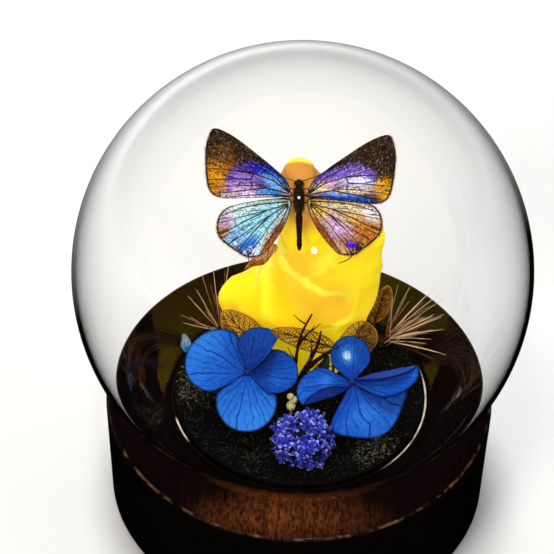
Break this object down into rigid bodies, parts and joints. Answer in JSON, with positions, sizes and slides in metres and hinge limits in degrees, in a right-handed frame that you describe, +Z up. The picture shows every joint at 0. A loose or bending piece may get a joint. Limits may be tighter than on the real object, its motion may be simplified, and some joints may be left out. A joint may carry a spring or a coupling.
{
  "type": "butterfly in glass globe",
  "caption": "Clear glass globe on a turned dark wooden base, holding a spread butterfly pinned to a lit yellow stone among dried blue flowers, moss and skeleton leaves.",
  "frame": {"origin": "middle of the wooden base's underside", "axes": "+Z up through the globe, -Y towards the viewer that the butterfly faces, +X to that viewer's right"},
  "size_m": [0.0998, 0.0998, 0.1173],
  "materials": {
    "dark_wood": "turned hardwood, stained near black, glossy varnish",
    "clear_glass": "clear blown glass",
    "lamp": "warm white lamp lens",
    "moss": "dry black moss",
    "stone": "translucent yellow stone, lit from below",
    "insect_body": "dark brown scales and hairs",
    "forewing": "iridescent violet and blue scales, brown-black margin",
    "hindwing": "pale blue and copper scales",
    "pin_steel": "polished insect pin",
    "blue_sepal": "dried blue hydrangea sepal",
    "flower_stem": "dried flower stem and bud",
    "dry_sepal": "dried dark sepal",
    "violet_flower": "dried violet florets",
    "cream_bud": "dried cream buds",
    "skeleton_leaf": "golden brown leaf skeleton",
    "dry_grass": "dry grass stalks",
    "twig": "dark dry twig"
  },
  "bodies": {
    "root": {"wooden_base": "dark_wood", "glass_globe": "clear_glass", "led_lamp": "lamp", "moss_bed": "moss", "yellow_stone": "stone", "butterfly_body": "insect_body", "forewing_left": "forewing", "forewing_right": "forewing", "hindwing_left": "hindwing", "hindwing_right": "hindwing", "insect_pin": "pin_steel", "hydrangea_left_stem": "flower_stem", "hydrangea_right_stem": "flower_stem", "loose_sepal": "blue_sepal", "dry_sepal": "dry_sepal", "cluster_flower": "violet_flower", "cream_buds": "cream_bud", "grass_tuft_left": "dry_grass", "grass_tuft_right": "dry_grass", "twig_sprig": "twig", "hydrangea_left_sepal_1": "blue_sepal", "hydrangea_right_sepal_1": "blue_sepal", "hydrangea_left_sepal_2": "blue_sepal", "hydrangea_right_sepal_2": "blue_sepal", "hydrangea_left_sepal_3": "blue_sepal", "hydrangea_right_sepal_3": "blue_sepal", "hydrangea_left_sepal_4": "blue_sepal", "hydrangea_right_sepal_4": "blue_sepal", "skeleton_leaf_left": "skeleton_leaf", "skeleton_leaf_right": "skeleton_leaf", "skeleton_leaf_middle": "skeleton_leaf", "skeleton_leaf_side": "skeleton_leaf", "skeleton_leaf_back": "skeleton_leaf"}
  },
  "joints": []
}
